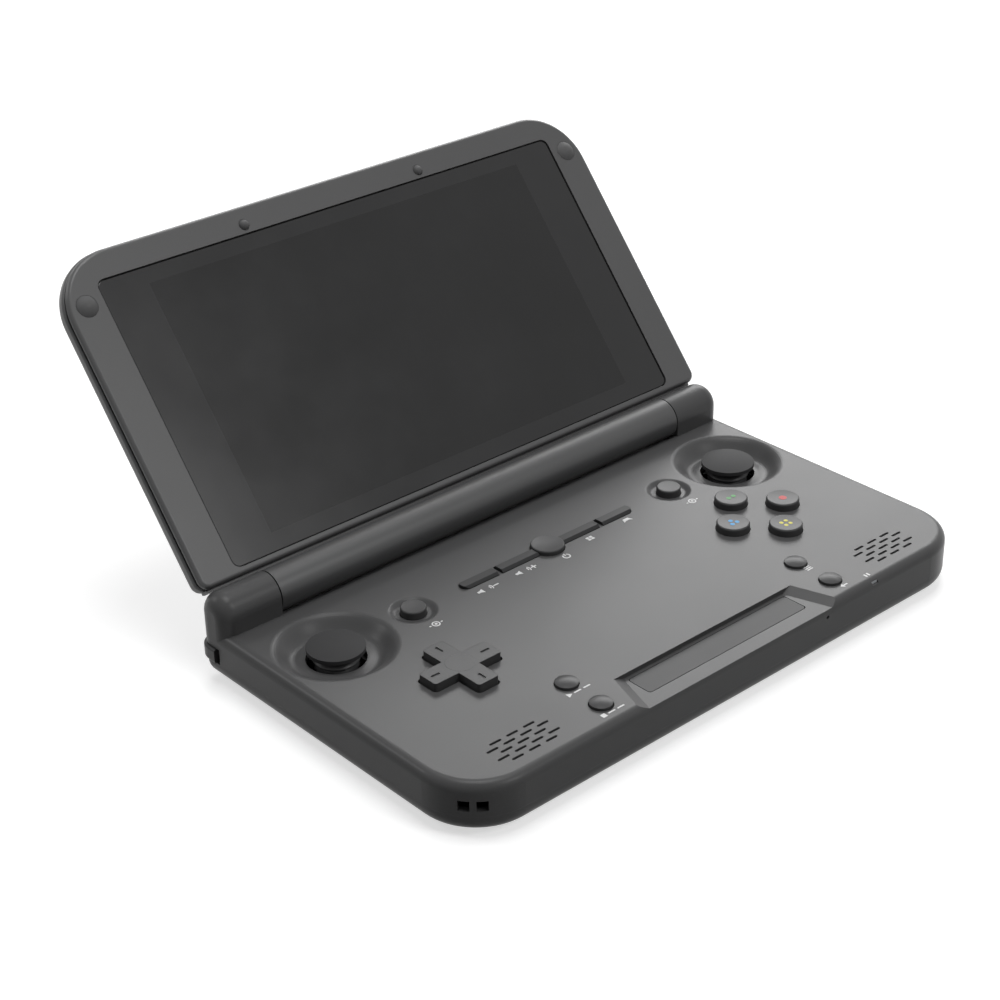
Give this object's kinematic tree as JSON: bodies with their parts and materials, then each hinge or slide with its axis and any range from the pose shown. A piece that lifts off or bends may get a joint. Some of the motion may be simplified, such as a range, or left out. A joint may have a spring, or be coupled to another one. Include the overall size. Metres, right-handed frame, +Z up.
{
  "type": "clamshell handheld game console",
  "caption": "Clamshell handheld game console with hinged touch-screen lid, analogue sticks, directional pad, face buttons and shoulder buttons.",
  "frame": {"origin": "on the table, under the centre of the open console's bounding box", "axes": "+X to the player's right, along the hinge; +Y away from the player, towards the open lid; +Z up"},
  "size_m": [0.1564, 0.1424, 0.0813],
  "materials": {
    "case_plastic": "fine spark-eroded matte",
    "plate_plastic": "fine matte",
    "button_plastic": "smooth matte",
    "circuit_board": "solder mask, satin",
    "battery_wrap": "film wrap, satin",
    "speaker_black": "matte",
    "plated_steel": "plated, satin",
    "rubber_dark": "matte",
    "housing_plastic": "matte",
    "light_guide": "clear, frosted",
    "screen_glass": "polished",
    "display_black": "dark when off",
    "cable_film": "polyimide film"
  },
  "bodies": {
    "base": {"lower_case": "case_plastic", "upper_case": "case_plastic", "notch_plate": "plate_plastic", "mainboard": "circuit_board", "battery": "battery_wrap", "speaker_left": "speaker_black", "speaker_right": "speaker_black", "usb_socket": "plated_steel", "hdmi_socket": "plated_steel", "headphone_jack": "speaker_black", "card_slot": "plated_steel", "processor_shield": "plated_steel", "rubber_feet": "rubber_dark", "case_screws": "plated_steel", "dpad_membrane": "rubber_dark", "face_membrane": "rubber_dark", "left_control_board": "circuit_board", "right_control_board": "circuit_board", "key_board": "circuit_board", "tact_switches": "plated_steel", "led_light_guide": "light_guide", "microphone": "speaker_black", "hinge_cartridges": "plated_steel", "stick_housing_left": "housing_plastic", "stick_housing_right": "housing_plastic"},
    "lid": {"lid_cover": "case_plastic", "lid_bezel": "case_plastic", "touch_glass": "screen_glass", "display_panel": "display_black", "lid_bumpers": "rubber_dark", "lid_screws": "plated_steel", "hinge_pins": "plated_steel", "display_cable": "cable_film"},
    "face_button_back_press_body": {"face_button_back": "button_plastic"},
    "face_button_right_press_body": {"face_button_right": "button_plastic"},
    "face_button_left_press_body": {"face_button_left": "button_plastic"},
    "face_button_front_press_body": {"face_button_front": "button_plastic"},
    "start_button_press_body": {"start_button": "button_plastic"},
    "select_button_press_body": {"select_button": "button_plastic"},
    "menu_button_press_body": {"menu_button": "button_plastic"},
    "return_button_press_body": {"return_button": "button_plastic"},
    "left_click_button_press_body": {"left_click_button": "button_plastic"},
    "right_click_button_press_body": {"right_click_button": "button_plastic"},
    "volume_down_key_press_body": {"volume_down_key": "button_plastic"},
    "volume_up_key_press_body": {"volume_up_key": "button_plastic"},
    "power_button_press_body": {"power_button": "button_plastic"},
    "view_key_press_body": {"view_key": "button_plastic"},
    "game_key_press_body": {"game_key": "button_plastic"},
    "shoulder_left_outer_press_body": {"shoulder_left_outer": "button_plastic"},
    "shoulder_left_inner_press_body": {"shoulder_left_inner": "button_plastic"},
    "shoulder_right_outer_press_body": {"shoulder_right_outer": "button_plastic"},
    "shoulder_right_inner_press_body": {"shoulder_right_inner": "button_plastic"},
    "stick_ring_left_body": {"stick_ring_left": "plated_steel"},
    "stick_left_body": {"stick_shaft_left": "housing_plastic", "stick_cap_left": "rubber_dark"},
    "stick_ring_right_body": {"stick_ring_right": "plated_steel"},
    "stick_right_body": {"stick_shaft_right": "housing_plastic", "stick_cap_right": "rubber_dark"},
    "dpad_pivot_body": {"dpad_pivot": "plated_steel"},
    "dpad_body": {"dpad": "button_plastic"}
  },
  "joints": [
    {"name": "lid_hinge", "type": "hinge", "parent": "base", "child": "lid", "pos_m": [0, 0.01346, 0.0161], "axis": [-1, 0, 0], "range_deg": [-130.2, 49.8]},
    {"name": "face_button_back_press", "type": "slide", "parent": "base", "child": "face_button_back_press_body", "axis": [0, 0, -1], "range_m": [0, 0.0006], "stiffness_N_per_m": 800},
    {"name": "face_button_right_press", "type": "slide", "parent": "base", "child": "face_button_right_press_body", "axis": [0, 0, -1], "range_m": [0, 0.0006], "stiffness_N_per_m": 800},
    {"name": "face_button_left_press", "type": "slide", "parent": "base", "child": "face_button_left_press_body", "axis": [0, 0, -1], "range_m": [0, 0.0006], "stiffness_N_per_m": 800},
    {"name": "face_button_front_press", "type": "slide", "parent": "base", "child": "face_button_front_press_body", "axis": [0, 0, -1], "range_m": [0, 0.0006], "stiffness_N_per_m": 800},
    {"name": "start_button_press", "type": "slide", "parent": "base", "child": "start_button_press_body", "axis": [0, 0, -1], "range_m": [0, 0.0006], "stiffness_N_per_m": 800},
    {"name": "select_button_press", "type": "slide", "parent": "base", "child": "select_button_press_body", "axis": [0, 0, -1], "range_m": [0, 0.0006], "stiffness_N_per_m": 800},
    {"name": "menu_button_press", "type": "slide", "parent": "base", "child": "menu_button_press_body", "axis": [0, 0, -1], "range_m": [0, 0.0006], "stiffness_N_per_m": 800},
    {"name": "return_button_press", "type": "slide", "parent": "base", "child": "return_button_press_body", "axis": [0, 0, -1], "range_m": [0, 0.0006], "stiffness_N_per_m": 800},
    {"name": "left_click_button_press", "type": "slide", "parent": "base", "child": "left_click_button_press_body", "axis": [0, 0, -1], "range_m": [0, 0.0006], "stiffness_N_per_m": 800},
    {"name": "right_click_button_press", "type": "slide", "parent": "base", "child": "right_click_button_press_body", "axis": [0, 0, -1], "range_m": [0, 0.0006], "stiffness_N_per_m": 800},
    {"name": "volume_down_key_press", "type": "slide", "parent": "base", "child": "volume_down_key_press_body", "axis": [0, 0, -1], "range_m": [0, 0.0006], "stiffness_N_per_m": 800},
    {"name": "volume_up_key_press", "type": "slide", "parent": "base", "child": "volume_up_key_press_body", "axis": [0, 0, -1], "range_m": [0, 0.0006], "stiffness_N_per_m": 800},
    {"name": "power_button_press", "type": "slide", "parent": "base", "child": "power_button_press_body", "axis": [0, 0, -1], "range_m": [0, 0.0006], "stiffness_N_per_m": 800},
    {"name": "view_key_press", "type": "slide", "parent": "base", "child": "view_key_press_body", "axis": [0, 0, -1], "range_m": [0, 0.0006], "stiffness_N_per_m": 800},
    {"name": "game_key_press", "type": "slide", "parent": "base", "child": "game_key_press_body", "axis": [0, 0, -1], "range_m": [0, 0.0006], "stiffness_N_per_m": 800},
    {"name": "shoulder_left_outer_press", "type": "slide", "parent": "base", "child": "shoulder_left_outer_press_body", "axis": [0, -1, 0], "range_m": [0, 0.0008], "stiffness_N_per_m": 800},
    {"name": "shoulder_left_inner_press", "type": "slide", "parent": "base", "child": "shoulder_left_inner_press_body", "axis": [0, -1, 0], "range_m": [0, 0.0008], "stiffness_N_per_m": 800},
    {"name": "shoulder_right_outer_press", "type": "slide", "parent": "base", "child": "shoulder_right_outer_press_body", "axis": [0, -1, 0], "range_m": [0, 0.0008], "stiffness_N_per_m": 800},
    {"name": "shoulder_right_inner_press", "type": "slide", "parent": "base", "child": "shoulder_right_inner_press_body", "axis": [0, -1, 0], "range_m": [0, 0.0008], "stiffness_N_per_m": 800},
    {"name": "stick_left_fore_aft", "type": "hinge", "parent": "base", "child": "stick_ring_left_body", "pos_m": [-0.0614, -0.00934, 0.0053], "axis": [1, 0, 0], "range_deg": [-11, 11], "stiffness_Nm_per_rad": 0.02},
    {"name": "stick_left_sideways", "type": "hinge", "parent": "stick_ring_left_body", "child": "stick_left_body", "pos_m": [-0.0614, -0.00934, 0.0053], "axis": [0, 1, 0], "range_deg": [-11, 11], "stiffness_Nm_per_rad": 0.02},
    {"name": "stick_right_fore_aft", "type": "hinge", "parent": "base", "child": "stick_ring_right_body", "pos_m": [0.0614, -0.00934, 0.0053], "axis": [1, 0, 0], "range_deg": [-11, 11], "stiffness_Nm_per_rad": 0.02},
    {"name": "stick_right_sideways", "type": "hinge", "parent": "stick_ring_right_body", "child": "stick_right_body", "pos_m": [0.0614, -0.00934, 0.0053], "axis": [0, 1, 0], "range_deg": [-11, 11], "stiffness_Nm_per_rad": 0.02},
    {"name": "dpad_fore_aft", "type": "hinge", "parent": "base", "child": "dpad_pivot_body", "pos_m": [-0.0482, -0.03484, 0.00875], "axis": [1, 0, 0], "range_deg": [-3, 3], "stiffness_Nm_per_rad": 0.06},
    {"name": "dpad_sideways", "type": "hinge", "parent": "dpad_pivot_body", "child": "dpad_body", "pos_m": [-0.0482, -0.03484, 0.00875], "axis": [0, 1, 0], "range_deg": [-3, 3], "stiffness_Nm_per_rad": 0.06}
  ]
}
